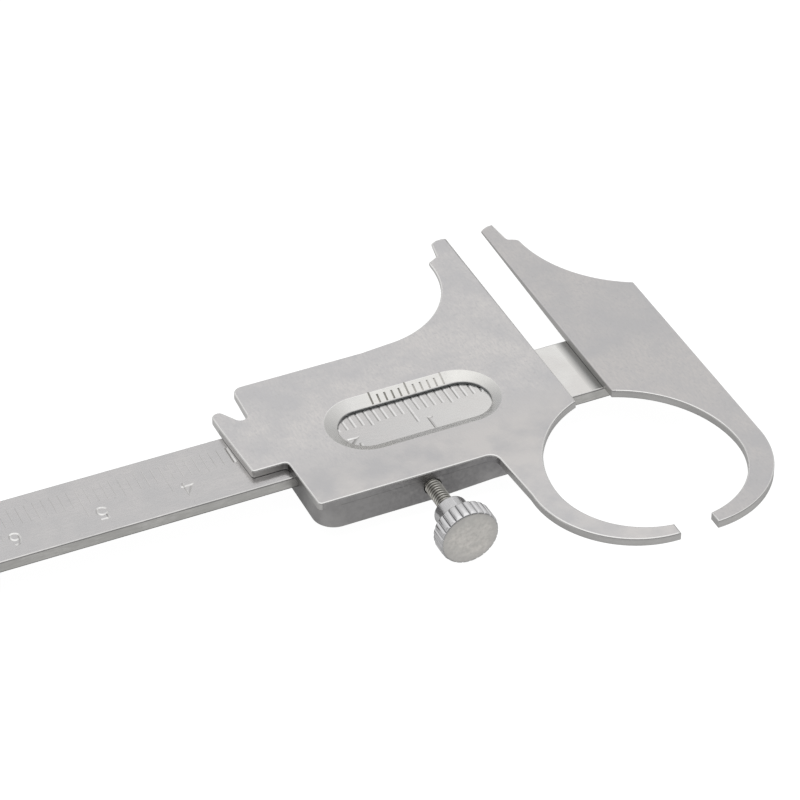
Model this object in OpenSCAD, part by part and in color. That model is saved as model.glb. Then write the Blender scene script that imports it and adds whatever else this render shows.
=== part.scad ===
// Sliding vernier caliper with flat plate jaws: pointed tips on one side of the
// beam for thickness, and two half rings on the other side for round work.
// The fixed jaw is a plate on the end of a graduated beam. The slider is a second
// plate with a vernier window, on a channel body that runs on the beam and is
// locked by a thumb screw in its front rail.
//
// Origin: on the fixed jaw's measuring face, on the beam's centre line, at half
// the thickness of the jaw plates. +X runs along the beam towards the fixed jaw,
// +Y towards the pointed tips, +Z out of the graduated face.
// The slider's own dimensions are measured from its measuring face.

/* [Opening] */
// Gap between the measuring faces in the stored pose
opening = 4.6; // [0.5:0.1:20]
// Widest gap, where the slider meets the stop pin
max_opening = 80; // [60:1:85]

/* [Beam] */
// Width of the beam
beam_w = 9.9; // [9:0.1:10.5]
// Thickness of the beam
beam_t = 1.5; // [1.2:0.1:1.8]
// Length of the beam past the stop pin's axis
beam_end = 3.2; // [2.5:0.1:6]
// Corner radius at the beam's free end
beam_corner_r = 2.2; // [1:0.1:4]
// How far the beam reaches under the fixed jaw
beam_lap = 11.2; // [9:0.1:11.5]
// Sliding clearance between the beam and the slider
slide_gap = 0.03; // [0.02:0.01:0.06]

/* [Scale] */
// Distance of the scale's zero line from the fixed measuring face
scale_zero = 12; // [11:0.1:13]
// Number of millimetre divisions
scale_n = 100; // [80:10:100]
// Width of an engraved line
line_w = 0.12; // [0.08:0.01:0.16]
// Depth of an engraved line
line_d = 0.06; // [0.04:0.01:0.1]
// Y of the far end of every scale line
line_far = 3.1; // [2.9:0.1:3.4]
// Length of a millimetre line
line_1 = 2.8; // [2.4:0.1:3]
// Length of a five millimetre line
line_5 = 3.2; // [3:0.1:3.6]
// Length of a centimetre line
line_10 = 4.8; // [4:0.1:5.2]

/* [Jaws] */
// Thickness of the jaw plates
jaw_t = 1; // [0.8:0.05:1.2]
// Distance of the jaws' outer edges from their measuring faces
jaw_w = 12; // [11.5:0.1:13]
// Y of the tips' points
tip_y = 28.2; // [27:0.1:29]
// Thickness left at the tips' ends
tip_t = 0.25; // [0.2:0.05:0.5]
// Y where the underside starts to thin towards the tips
taper_y = 5; // [5:0.5:8]
// Y where the half rings leave the measuring faces
ring_top = -6.9; // [-8:0.1:-6]
// Y of the half rings' widest place
ring_mid = -20.3; // [-21:0.1:-20]
// Y of the half rings' inner ends
ring_end = -30.6; // [-31:0.1:-30]
// Depth of the fixed half ring
fixed_ring_d = 8.9; // [8.5:0.1:9.3]
// Depth of the movable half ring
moving_ring_d = 9.2; // [8.5:0.1:9.3]
// Outer radius of both half rings
ring_r = 12; // [11.8:0.1:12.2]

/* [Slider] */
// Y of the slider's far edge
slider_far = 11.6; // [11.2:0.1:12]
// Y of the slider's near edge
slider_near = -11.5; // [-12:0.1:-11.3]
// Distance of the slider plate's rear edge
slider_rear = 34.1; // [33.5:0.1:35]
// Distance of the thumb tab's rear edge
tab_rear = 38.9; // [38:0.1:40]

/* [Window] */
// Distance of the window's centre
win_x = 17.2; // [17:0.1:17.5]
// Y of the window's centre
win_y = -0.35; // [-0.5:0.05:0]
// Length of the window over its bevel
win_l = 21.6; // [21:0.1:22]
// Width of the window over its bevel
win_w = 9.9; // [9.6:0.1:10.2]
// Width of the bevel
bevel_w = 1.75; // [1.6:0.05:1.9]
// Depth of the bevel
bevel_d = 0.6; // [0.4:0.05:0.7]
// Distance of the vernier's zero line
vernier_zero = 12; // [11:0.1:13]
// Number of vernier divisions
vernier_n = 10; // [10:10:10]

/* [Body] */
// Height of the channel body under the slider plate
body_h = 3.2; // [3:0.1:3.5]
// Distance of the body's rear face
body_rear = 33.8; // [33:0.1:34]
// Distance of the body's front face
body_front = 8.5; // [8:0.1:9.5]
// Plan radius of the body's rear corners
body_r = 2.6; // [1.5:0.1:3]
// How much the underside rises towards the front
body_rise = 0.45; // [0:0.05:0.6]
// Distance of the slider's rear pair of fixing screws
fix_rear = 30.6; // [29:0.1:31]
// Distance of the slider's front pair of fixing screws
fix_front = 11.2; // [10.8:0.1:11.6]
// Y of the fixing screws on either side of the beam
fix_y = 8.9; // [8.8:0.1:9.1]
// Radius of the fixing screws' thread
fix_r = 0.8; // [0.7:0.05:0.85]
// Radius of the fixing screws' heads
fix_head_r = 1.5; // [1.3:0.05:1.6]

/* [Gib and spring] */
// Length of the gib strip
gib_l = 19; // [17:0.5:20]
// Thickness of the gib strip
gib_t = 0.8; // [0.6:0.05:0.9]
// Thickness of the leaf spring
leaf_t = 0.2; // [0.15:0.05:0.25]
// Length of the leaf spring
leaf_l = 18; // [16:0.5:19]
// Bow of the leaf spring
leaf_bow = 0.75; // [0.6:0.05:0.8]

/* [Thumb screw] */
// Distance of the screw's axis
screw_x = 20.2; // [19:0.05:22]
// Radius of the screw's thread
screw_r = 1.05; // [0.95:0.01:1.1]
// Length of thread between the body and the collar
screw_show = 4.45; // [4:0.05:6]
// Radius of the knob's collar
collar_r = 2; // [1.8:0.05:2.2]
// Length of the knob's collar
collar_l = 3; // [2:0.1:3.5]
// Radius of the knob
knob_r = 3.55; // [3.2:0.05:3.8]
// Length of the knob's fluted part
knob_l = 2.3; // [2:0.1:3]
// Number of flutes
flutes = 24; // [18:1:30]
// Depth of a flute
flute_d = 0.22; // [0.1:0.01:0.3]
// Radius of the swivel pad on the screw's end
pad_r = 0.85; // [0.8:0.01:0.9]
// Length of the swivel pad
pad_l = 0.9; // [0.8:0.05:1]

/* [Rivets and stop] */
// Radius of the fixed jaw's rivets
rivet_r = 0.9; // [0.7:0.05:1]
// Distance of both rivets from the measuring face
rivet_x = 6; // [5.5:0.1:6.5]
// Y of the rivets on either side of the centre line
rivet_y = 3; // [2.5:0.1:3.2]
// Radius of the stop pin's shank
stop_r = 0.75; // [0.6:0.05:0.9]
// Radius of the stop pin's head
stop_head_r = 1.3; // [1.1:0.05:1.5]

/* [Hidden] */
$fn = 96;
far_past = 1;               // how far a cutter runs past what it cuts
top_z = jaw_t / 2;          // graduated face of both jaw plates
seat_z = -jaw_t / 2;        // beam's top face, on which the fixed jaw sits
beam_z = seat_z - beam_t;   // beam's underside
plate_z = seat_z + slide_gap;
body_z = plate_z - body_h;
floor_z = beam_z - slide_gap;
guide_y = beam_w / 2 + slide_gap;
stop_gap = 0.1;
stop_x = -(max_opening + tab_rear + stop_gap + stop_head_r);
beam_rear = stop_x - beam_end;
screw_gap = 0.05;           // radial clearance of the screw in its hole
screw_cover = 0.13;         // metal left above the screw's hole
screw_z = plate_z - screw_cover - screw_gap - screw_r;
beam_mid_z = seat_z - beam_t / 2;
pocket_l = 20;              // length of the pockets for the gib and the spring
pocket_h = 1.7;             // height of the strips' pockets
strip_h = 1.4;              // height of the gib strip and the leaf spring
gib_pocket_y = guide_y + gib_t + 0.15;
leaf_pocket_y = guide_y + leaf_bow + leaf_t + 0.1;
gib_near_y = -(guide_y + slide_gap + gib_t);
pad_far_y = gib_near_y - 0.04;
pad_near_y = pad_far_y - pad_l;
spigot_r = 0.42;
spigot_l = 0.5;
spigot_gap = 0.04;
collar_y = slider_near - screw_show;
knob_y = collar_y - collar_l;
knob_face_y = knob_y - knob_l;
stud_bore = 3.5;            // how far the stud is pressed into the knob
steel = [0.76, 0.75, 0.74];
dark_steel = [0.55, 0.55, 0.54];
brass = [0.78, 0.62, 0.32];

// Points along an arc
function arc(c, r, from, to, n = 16) =
    [for (i = [0:n]) let (a = from + (to - from) * i / n) c + r * [cos(a), sin(a)]];

// Radius of the circle that is d deep at its widest and meets the face h away
function bow_r(d, h) = (d * d + h * h) / (2 * d);

// Inner edge of a half ring of depth d, from its end up to the measuring face
function ring_inner(d) =
    let (
        upper_h = ring_top - ring_mid,
        lower_h = ring_mid - ring_end,
        upper_r = bow_r(d, upper_h),
        lower_r = bow_r(d, lower_h)
    )
    concat(
        arc([d - lower_r, ring_mid], lower_r, -asin(lower_h / lower_r), 0, 24),
        arc([d - upper_r, ring_mid], upper_r, 2, asin(upper_h / upper_r), 24)
    );

// Outline of the fixed jaw, from the tip round to the half ring's inner edge
module fixed_outline() {
    hollow = [19.46, 25.04];
    hollow_r = 16.14;
    polygon(concat(
        [
            [0, tip_y - 0.5], [0.45, tip_y - 0.18], [1.05, tip_y + 0.08], [1.75, tip_y + 0.15],
            [1.87, tip_y - 1.2], [2.06, tip_y - 3], [2.2, tip_y - 3.4],
            [2.75, tip_y - 3.65], [3.1, tip_y - 3.85]
        ],
        arc(hollow, hollow_r, 183.7, 180 + acos((hollow[0] - jaw_w) / hollow_r), 24),
        arc([0, ring_mid], ring_r, 0, -90, 36),
        ring_inner(fixed_ring_d)
    ));
}

// Outline of the slider plate, with x counted away from its measuring face
module moving_outline() {
    hollow = [15.55, 23.45];
    hollow_r = 11.55;
    edge_x = 12.45;
    fillet_r = 1.2;
    rear = slider_rear;
    lean = 0.95;            // the rear edge leans this far over its length
    polygon(concat(
        [
            [0, tip_y - 0.1], [0.45, tip_y + 0.04], [1.3, tip_y], [2.05, tip_y - 0.4],
            [2.2, tip_y - 1.1], [2.55, tip_y - 2.95], [3, tip_y - 3.25], [3.95, tip_y - 3.75]
        ],
        arc(hollow, hollow_r, 178, 268, 30),
        [[hollow[0] + 3, slider_far]],
        // rear corner and the notch in front of the thumb hook
        arc([rear + lean - 1.2, slider_far - 1.2], 1.2, 90, 0, 8),
        arc([rear + 1.85, 6.6], 0.75, 180, 335, 10),
        // rounded point of the hook and the tab's rear edge
        arc([rear + 4.1, 7.35], 0.83, 125, 5, 10),
        [[rear + 4.9, 5.5]],
        arc([tab_rear - 0.75, -2.8], 0.4, 0, -90, 5),
        arc([rear + 0.7, -3.7], 0.5, 90, 180, 6),
        arc([rear - 0.55, slider_near + 0.5], 0.5, 0, -90, 6),
        // near edge, run out into the half ring's outer edge
        arc([edge_x + fillet_r, slider_near - fillet_r], fillet_r, 90, 180, 8),
        arc([0, ring_mid], ring_r, 3, -90, 36),
        ring_inner(moving_ring_d)
    ));
}

// Wedge that thins a jaw plate from below towards its tip
module tip_taper() {
    run = tip_y - taper_y;
    drop = jaw_t - tip_t;
    rotate([90, 0, 90])
        translate([0, 0, -60])
            linear_extrude(120)
                polygon([
                    [taper_y, seat_z],
                    [taper_y + 1.1 * run, seat_z + 1.1 * drop],
                    [taper_y + 1.1 * run, seat_z - far_past]
                ]);
}

// Countersunk head whose flat face is at z = 0, with its shank above
module flat_head(head_r, shank_r, head_h) {
    cylinder(h = head_h, r1 = head_r, r2 = shank_r);
}

module at_rivets() {
    for (side = [-1, 1])
        translate([rivet_x, side * rivet_y, 0])
            children();
}

module at_fixings() {
    for (x = [-fix_rear, -fix_front], side = [-1, 1])
        translate([x, side * fix_y, 0])
            children();
}

// Moves the slider's parts to the stored opening
module on_slider() {
    translate([-opening, 0, 0])
        children();
}

// One engraved line of the main scale
module scale_line(i) {
    long = i % 10 == 0 ? line_10 : i % 5 == 0 ? line_5 : line_1;
    translate([-scale_zero - i - line_w / 2, line_far - long, seat_z - line_d])
        cube([line_w, long, line_d + far_past]);
}

module beam() {
    color(steel)
        difference() {
            translate([0, 0, beam_z])
                linear_extrude(beam_t)
                    union() {
                        translate([beam_rear + beam_corner_r, -beam_w / 2])
                            square([beam_lap - beam_rear - beam_corner_r, beam_w]);
                        translate([beam_rear, -beam_w / 2 + beam_corner_r])
                            square([2 * beam_corner_r, beam_w - 2 * beam_corner_r]);
                        for (side = [-1, 1])
                            translate([beam_rear + beam_corner_r, side * (beam_w / 2 - beam_corner_r)])
                                circle(beam_corner_r);
                    }
            for (i = [0:scale_n])
                scale_line(i);
            at_rivets() {
                translate([0, 0, beam_z - far_past]) cylinder(h = beam_t + 2 * far_past, r = rivet_r);
                translate([0, 0, beam_z]) flat_head(rivet_r + 0.5, rivet_r, 0.5);
            }
            translate([stop_x, 0, beam_z - far_past])
                cylinder(h = beam_t + 2 * far_past, r = stop_r);
        }
}

module fixed_jaw() {
    color(steel)
        difference() {
            translate([0, 0, seat_z])
                linear_extrude(jaw_t)
                    fixed_outline();
            tip_taper();
            at_rivets()
                translate([0, 0, seat_z - far_past])
                    cylinder(h = far_past + 0.75 * jaw_t, r = rivet_r);
        }
}

module jaw_rivets() {
    color(dark_steel)
        at_rivets() {
            translate([0, 0, beam_z]) cylinder(h = beam_t + 0.75 * jaw_t, r = rivet_r);
            translate([0, 0, beam_z]) flat_head(rivet_r + 0.5, rivet_r, 0.5);
        }
}

module stop_pin() {
    head_h = 0.75;
    color(dark_steel)
        translate([stop_x, 0, 0]) {
            translate([0, 0, beam_z]) cylinder(h = beam_t, r = stop_r);
            translate([0, 0, seat_z]) cylinder(h = head_h - 0.2, r = stop_head_r);
            translate([0, 0, seat_z + head_h - 0.2])
                cylinder(h = 0.2, r1 = stop_head_r, r2 = stop_head_r - 0.3);
        }
}

// Bevelled stadium opening of the vernier window, centred on x = 0, y = 0
module window_cut() {
    deep_w = win_w - 2 * bevel_w;
    straight = win_l - win_w;
    lip_z = top_z - bevel_d;
    slope = bevel_w / bevel_d;
    up = far_past * slope;
    for (side = [-1, 1])
        translate([side * straight / 2, 0, 0]) {
            translate([0, 0, plate_z - far_past])
                cylinder(h = jaw_t + far_past, r = deep_w / 2);
            translate([0, 0, lip_z])
                cylinder(h = bevel_d + far_past, r1 = deep_w / 2, r2 = win_w / 2 + up);
        }
    translate([-straight / 2, -deep_w / 2, plate_z - far_past])
        cube([straight, deep_w, jaw_t + far_past]);
    rotate([90, 0, 90])
        translate([0, 0, -straight / 2])
            linear_extrude(straight)
                polygon([
                    [-deep_w / 2, lip_z], [deep_w / 2, lip_z],
                    [win_w / 2 + up, top_z + far_past], [-win_w / 2 - up, top_z + far_past]
                ]);
}

// One line of the vernier, cut square to the far bevel of the window
module vernier_line(i) {
    long = i % 5 == 0 ? 1.95 : 1.3;
    slope = atan2(bevel_d, bevel_w);
    translate([-vernier_zero - 0.9 * i, win_y + win_w / 2 - bevel_w, top_z - bevel_d])
        rotate([slope, 0, 0])
            translate([-line_w / 2, -0.3, -line_d])
                cube([line_w, long + 0.3, 2 * line_d]);
}

module slider_plate() {
    color(steel)
        on_slider()
            difference() {
                translate([0, 0, plate_z])
                    linear_extrude(top_z - plate_z)
                        mirror([1, 0]) moving_outline();
                translate([0, 0, slide_gap]) tip_taper();
                translate([-win_x, win_y, 0]) window_cut();
                for (i = [0:vernier_n])
                    vernier_line(i);
                at_fixings()
                    translate([0, 0, plate_z - far_past])
                        cylinder(h = far_past + 0.7, r = fix_r);
            }
}

// Plan of the channel body
module body_plan() {
    front_r = 1;
    for (side = [-1, 1]) {
        y = side > 0 ? slider_far - 0.1 : slider_near;
        translate([-body_rear + body_r, y - side * body_r]) circle(body_r);
        translate([-body_front - front_r, y - side * front_r]) circle(front_r);
    }
    translate([-body_rear + body_r, slider_near])
        square([body_rear - body_r - body_front - front_r, slider_far - 0.1 - slider_near]);
    translate([-body_rear, slider_near + body_r])
        square([body_r + 1, slider_far - 0.1 - slider_near - 2 * body_r]);
    translate([-body_front - 2 * front_r, slider_near + front_r])
        square([2 * front_r, slider_far - 0.1 - slider_near - 2 * front_r]);
}

module slider_body() {
    guide_top = plate_z + far_past;
    pocket_x = -screw_x - pocket_l / 2;
    mouth = 0.1;            // countersink of the screw's hole
    color(steel)
        on_slider()
            difference() {
                translate([0, 0, body_z])
                    linear_extrude(body_h)
                        body_plan();
                // channel for the beam
                translate([-body_rear - far_past, -guide_y, floor_z])
                    cube([body_rear - body_front + 2 * far_past, 2 * guide_y, guide_top - floor_z]);
                // pockets beside the beam for the gib strip and the leaf spring
                translate([pocket_x, -gib_pocket_y, beam_mid_z - pocket_h / 2])
                    cube([pocket_l, gib_pocket_y, guide_top - beam_mid_z + pocket_h / 2]);
                translate([pocket_x, 0, beam_mid_z - pocket_h / 2])
                    cube([pocket_l, leaf_pocket_y, guide_top - beam_mid_z + pocket_h / 2]);
                // tapped hole for the thumb screw, with a countersunk mouth
                translate([-screw_x, slider_near - far_past, screw_z])
                    rotate([-90, 0, 0])
                        cylinder(h = far_past - slider_near - guide_y, r = screw_r + screw_gap);
                translate([-screw_x, slider_near, screw_z])
                    rotate([-90, 0, 0])
                        cylinder(h = mouth, r1 = screw_r + screw_gap + mouth, r2 = screw_r + screw_gap);
                at_fixings() {
                    translate([0, 0, body_z - far_past])
                        cylinder(h = body_h + 2 * far_past, r = fix_r);
                    translate([0, 0, body_z + body_rise]) flat_head(fix_head_r, fix_r, 0.7);
                    translate([0, 0, body_z - far_past])
                        cylinder(h = far_past + body_rise, r = fix_head_r);
                }
                // the underside rises towards the front
                rotate([90, 0, 0])
                    translate([0, 0, -30])
                        linear_extrude(60)
                            polygon([
                                [-screw_x, body_z],
                                [-body_front - 4, body_z + body_rise],
                                [0, body_z + body_rise],
                                [0, body_z - far_past], [-screw_x, body_z - far_past]
                            ]);
            }
}

module body_screws() {
    slot_w = 0.4;
    slot_d = 0.3;
    head_z = body_z + body_rise;
    color(dark_steel)
        on_slider()
            at_fixings()
                difference() {
                    union() {
                        translate([0, 0, head_z]) cylinder(h = plate_z - head_z + 0.65, r = fix_r);
                        translate([0, 0, head_z]) flat_head(fix_head_r, fix_r, 0.7);
                    }
                    translate([-2, -slot_w / 2, head_z - far_past])
                        cube([4, slot_w, far_past + slot_d]);
                }
}

module gib_strip() {
    color(brass)
        on_slider()
            translate([-screw_x - gib_l / 2, gib_near_y, beam_mid_z - strip_h / 2])
                cube([gib_l, gib_t, strip_h]);
}

module leaf_spring() {
    r = bow_r(leaf_bow, leaf_l / 2);
    near_y = guide_y + slide_gap;
    color(dark_steel)
        on_slider()
            translate([-screw_x, near_y, beam_mid_z - strip_h / 2])
                linear_extrude(strip_h)
                    intersection() {
                        difference() {
                            translate([0, r]) circle(r, $fn = 360);
                            translate([0, r]) circle(r - leaf_t, $fn = 360);
                        }
                        translate([-leaf_l / 2, -1]) square([leaf_l, leaf_bow + leaf_t + 0.9]);
                    }
}

module clamp_pad() {
    color(brass)
        on_slider()
            translate([-screw_x, pad_near_y, screw_z])
                rotate([-90, 0, 0])
                    difference() {
                        cylinder(h = pad_l, r = pad_r);
                        translate([0, 0, -far_past])
                            cylinder(h = far_past + spigot_l + spigot_gap, r = spigot_r + spigot_gap);
                    }
}

module screw_stud() {
    stud_near_y = collar_y - stud_bore;
    tip_y_end = pad_near_y - spigot_gap;
    color(dark_steel)
        on_slider()
            translate([-screw_x, 0, screw_z])
                rotate([-90, 0, 0]) {
                    translate([0, 0, stud_near_y])
                        cylinder(h = tip_y_end - 0.3 - stud_near_y, r = screw_r);
                    translate([0, 0, tip_y_end - 0.3])
                        cylinder(h = 0.3, r1 = screw_r, r2 = screw_r - 0.25);
                    translate([0, 0, tip_y_end])
                        cylinder(h = spigot_l, r = spigot_r);
                }
}

module thumb_knob() {
    edge = 0.2;
    color(steel)
        on_slider()
            translate([-screw_x, knob_face_y, screw_z])
                rotate([-90, 0, 0])
                    difference() {
                        union() {
                            cylinder(h = edge, r1 = knob_r - edge, r2 = knob_r);
                            translate([0, 0, edge]) cylinder(h = knob_l - 2 * edge, r = knob_r);
                            translate([0, 0, knob_l - edge])
                                cylinder(h = edge, r1 = knob_r, r2 = knob_r - edge);
                            cylinder(h = knob_l + collar_l - edge, r = collar_r);
                            translate([0, 0, knob_l + collar_l - edge])
                                cylinder(h = edge, r1 = collar_r, r2 = collar_r - edge);
                        }
                        for (i = [0:flutes - 1])
                            rotate(i * 360 / flutes)
                                translate([knob_r + 0.32 - flute_d, 0, -far_past])
                                    cylinder(h = knob_l + 2 * far_past, r = 0.32, $fn = 24);
                        translate([0, 0, knob_l + collar_l - stud_bore])
                            cylinder(h = stud_bore + far_past, r = screw_r);
                    }
}

beam();
fixed_jaw();
jaw_rivets();
stop_pin();
slider_plate();
slider_body();
body_screws();
gib_strip();
leaf_spring();
clamp_pad();
screw_stud();
thumb_knob();
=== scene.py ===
import math

import bmesh
import bpy
from mathutils import Matrix, Vector


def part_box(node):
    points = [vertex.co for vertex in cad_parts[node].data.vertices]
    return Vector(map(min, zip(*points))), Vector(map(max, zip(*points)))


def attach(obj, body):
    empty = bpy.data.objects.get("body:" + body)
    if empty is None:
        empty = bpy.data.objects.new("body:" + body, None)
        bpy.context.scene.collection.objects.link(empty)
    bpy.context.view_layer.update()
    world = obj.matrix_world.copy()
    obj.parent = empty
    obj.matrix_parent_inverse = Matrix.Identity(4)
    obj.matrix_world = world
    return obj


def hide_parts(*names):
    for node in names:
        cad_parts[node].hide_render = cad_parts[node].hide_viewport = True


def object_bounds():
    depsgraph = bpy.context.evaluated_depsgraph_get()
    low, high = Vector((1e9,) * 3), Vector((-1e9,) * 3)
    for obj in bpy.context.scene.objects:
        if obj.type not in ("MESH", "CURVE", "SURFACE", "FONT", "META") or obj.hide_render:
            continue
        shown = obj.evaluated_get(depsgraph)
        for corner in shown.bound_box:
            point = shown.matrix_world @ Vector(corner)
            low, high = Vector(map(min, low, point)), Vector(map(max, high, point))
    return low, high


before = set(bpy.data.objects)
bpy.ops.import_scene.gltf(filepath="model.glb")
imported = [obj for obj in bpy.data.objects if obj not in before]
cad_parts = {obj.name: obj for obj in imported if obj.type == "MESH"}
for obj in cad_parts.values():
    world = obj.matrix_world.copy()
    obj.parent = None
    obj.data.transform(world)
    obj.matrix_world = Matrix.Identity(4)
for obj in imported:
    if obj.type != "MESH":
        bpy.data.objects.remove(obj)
cad_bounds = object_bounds()

# Every mesh is worked out in millimetres, in the CAD frame, and scaled to metres at the end.
MM = 0.001


def box_mm(node):
    """Lowest and highest corner of a CAD node, in millimetres."""
    low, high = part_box(node)
    return low / MM, high / MM


beam_low, beam_high = box_mm("beam")
fixed_low, fixed_high = box_mm("fixed_jaw")
plate_low, plate_high = box_mm("slider_plate")
body_low, body_high = box_mm("slider_body")
rivets_low, rivets_high = box_mm("jaw_rivets")
stop_low, stop_high = box_mm("stop_pin")
screws_low, screws_high = box_mm("body_screws")
stud_low, stud_high = box_mm("screw_stud")
knob_low, knob_high = box_mm("thumb_knob")

# The thumb screw's axis runs along Y through this X and Z
SCREW_X = (stud_low.x + stud_high.x) / 2
SCREW_Z = (stud_low.z + stud_high.z) / 2
SCREW_R = (stud_high.x - stud_low.x) / 2
KNOB_R = (knob_high.x - knob_low.x) / 2

TOP_Z = fixed_high.z            # graduated face of both jaw plates
FACE_X = plate_high.x           # the slider's measuring face
TIP_Y = 28.2
TAPER_Y = 5                     # the jaws get thinner from here to their tips,
TIP_T = 0.25                    # down to this share of their thickness


# ---- outlines

def curve_points(cx, cy, rx, ry, start, end, steps):
    """Points along an arc of an ellipse, angles in degrees."""
    points = []
    for i in range(steps + 1):
        a = math.radians(start + (end - start) * i / steps)
        points.append((cx + rx * math.cos(a), cy + ry * math.sin(a)))
    return points


def arc(centre, radius, start, end, steps):
    return curve_points(*centre, radius, radius, start, end, steps)


RING_TOP, RING_MID, RING_END = -6.9, -20.3, -30.6       # Y along a half ring's inner edge
RING_R = 12


def bow_radius(depth, half):
    """Radius of an arc that is depth deep over half its chord."""
    return (depth * depth + half * half) / (2 * depth)


def ring_inner(depth):
    """Inner edge of a half ring, from its end up to the measuring face."""
    upper_h, lower_h = RING_TOP - RING_MID, RING_MID - RING_END
    upper_r, lower_r = bow_radius(depth, upper_h), bow_radius(depth, lower_h)
    lower = arc((depth - lower_r, RING_MID), lower_r, -math.degrees(math.asin(lower_h / lower_r)), 0, 36)
    upper = arc((depth - upper_r, RING_MID), upper_r, 2, math.degrees(math.asin(upper_h / upper_r)), 36)
    return lower + upper


def fixed_outline():
    hollow, hollow_r, jaw_w = (19.46, 25.04), 16.14, 12
    tip = [
        (0, TIP_Y - 0.5), (0.45, TIP_Y - 0.18), (1.05, TIP_Y + 0.08), (1.75, TIP_Y + 0.15),
        (1.87, TIP_Y - 1.2), (2.06, TIP_Y - 3), (2.2, TIP_Y - 3.4), (2.75, TIP_Y - 3.65),
        (3.1, TIP_Y - 3.85),
    ]
    hollow_end = 180 + math.degrees(math.acos((hollow[0] - jaw_w) / hollow_r))
    return (
        tip
        + arc(hollow, hollow_r, 183.7, hollow_end, 40)
        + arc((0, RING_MID), RING_R, 0, -90, 54)
        + ring_inner(8.9)
    )


def moving_outline():
    """Outline of the slider plate, with x counted away from its measuring face."""
    hollow, hollow_r = (15.55, 23.45), 11.55
    rear, tab_rear, far, near = 34.1, 38.9, 11.6, -11.5
    edge_x, fillet_r, lean = 12.45, 1.2, 0.95
    tip = [
        (0, TIP_Y - 0.1), (0.45, TIP_Y + 0.04), (1.3, TIP_Y), (2.05, TIP_Y - 0.4),
        (2.2, TIP_Y - 1.1), (2.55, TIP_Y - 2.95), (3, TIP_Y - 3.25), (3.95, TIP_Y - 3.75),
    ]
    return (
        tip
        + arc(hollow, hollow_r, 178, 268, 44)
        + [(hollow[0] + 3, far)]
        + arc((rear + lean - 1.2, far - 1.2), 1.2, 90, 0, 12)
        + arc((rear + 1.85, 6.6), 0.75, 180, 335, 16)
        + arc((rear + 4.1, 7.35), 0.83, 125, 5, 14)
        + [(rear + 4.9, 5.5)]
        + arc((tab_rear - 0.75, -2.8), 0.4, 0, -90, 8)
        + arc((rear + 0.7, -3.7), 0.5, 90, 180, 10)
        + arc((rear - 0.55, near + 0.5), 0.5, 0, -90, 8)
        + arc((edge_x + fillet_r, near - fillet_r), fillet_r, 90, 180, 14)
        + arc((0, RING_MID), RING_R, 3, -90, 54)
        + ring_inner(9.2)
    )


def clean(loop, least=0.02):
    """Drops points that repeat, and turns the loop anticlockwise."""
    kept = []
    for p in loop:
        if not kept or math.dist(p, kept[-1]) > least:
            kept.append(p)
    if math.dist(kept[0], kept[-1]) <= least:
        kept.pop()
    area = sum(
        kept[i - 1][0] * kept[i][1] - kept[i][0] * kept[i - 1][1] for i in range(len(kept))
    )
    return kept if area > 0 else kept[::-1]


def round_corners(loop, radius, least_turn=25, steps=4):
    """Replaces each sharp corner of a loop by a small arc."""
    out = []
    count = len(loop)
    for i in range(count):
        before, here, after = Vector(loop[i - 1]), Vector(loop[i]), Vector(loop[(i + 1) % count])
        a, b = (before - here), (after - here)
        turn = math.pi - a.angle(b)
        if turn < math.radians(least_turn):
            out.append(tuple(here))
            continue
        cut = min(radius * math.tan(turn / 2), 0.4 * a.length, 0.4 * b.length)
        start, end = here + a.normalized() * cut, here + b.normalized() * cut
        for k in range(steps + 1):
            t = k / steps
            p = start * (1 - t) ** 2 + here * 2 * t * (1 - t) + end * t ** 2
            out.append(tuple(p))
    return out


def inset(loop, distance):
    """An anticlockwise loop moved inwards, with mitred corners."""
    if abs(distance) < 1e-9:
        return list(loop)
    out = []
    count = len(loop)
    for i in range(count):
        before, here, after = Vector(loop[i - 1]), Vector(loop[i]), Vector(loop[(i + 1) % count])
        a, b = (here - before).normalized(), (after - here).normalized()
        na, nb = Vector((-a.y, a.x)), Vector((-b.y, b.x))
        mid = (na + nb).normalized() if (na + nb).length > 1e-6 else na
        out.append(tuple(here + mid * (distance / max(mid.dot(na), 0.5))))
    return out


def stadium(centre, length, width, steps):
    """Anticlockwise stadium along X."""
    r, half = width / 2, (length - width) / 2
    right = arc((centre[0] + half, centre[1]), r, -90, 90, steps)
    left = arc((centre[0] - half, centre[1]), r, 90, 270, steps)
    return right + left


# ---- mesh building

MAIN, EDGE, CUT, SIDE, UNDER = range(5)     # material places on a piece


def add_ring(bm, loop, z):
    return [bm.verts.new((x, y, z)) for x, y in loop]


def bridge(bm, lower, upper, place=MAIN):
    count = len(lower)
    for i in range(count):
        j = (i + 1) % count
        face = bm.faces.new((lower[i], lower[j], upper[j], upper[i]))
        face.material_index = place


def cap(bm, rings):
    edges = []
    for ring in rings:
        for i in range(len(ring)):
            edges.append(bm.edges.get((ring[i], ring[(i + 1) % len(ring)])))
    made = bmesh.ops.triangle_fill(bm, use_beauty=True, use_dissolve=False, edges=edges)
    for face in made["geom"]:
        if isinstance(face, bmesh.types.BMFace):
            face.material_index = MAIN


EDGE_STEPS = 3


def edge_profile(low, high, radius, under=None, under_place=EDGE):
    """[(inset, z, place)] up the side of a plate, its edges rounded by under below and by radius above."""
    under = radius if under is None else under
    profile = []
    for k in range(EDGE_STEPS + 1):
        a = math.pi / 2 * k / EDGE_STEPS
        profile.append((under * (1 - math.sin(a)), low + under * (1 - math.cos(a)), under_place))
    for k in range(EDGE_STEPS + 1):
        a = math.pi / 2 * k / EDGE_STEPS
        place = SIDE if k == 0 else EDGE
        profile.append((radius * (1 - math.cos(a)), high - radius * (1 - math.sin(a)), place))
    return profile


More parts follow.
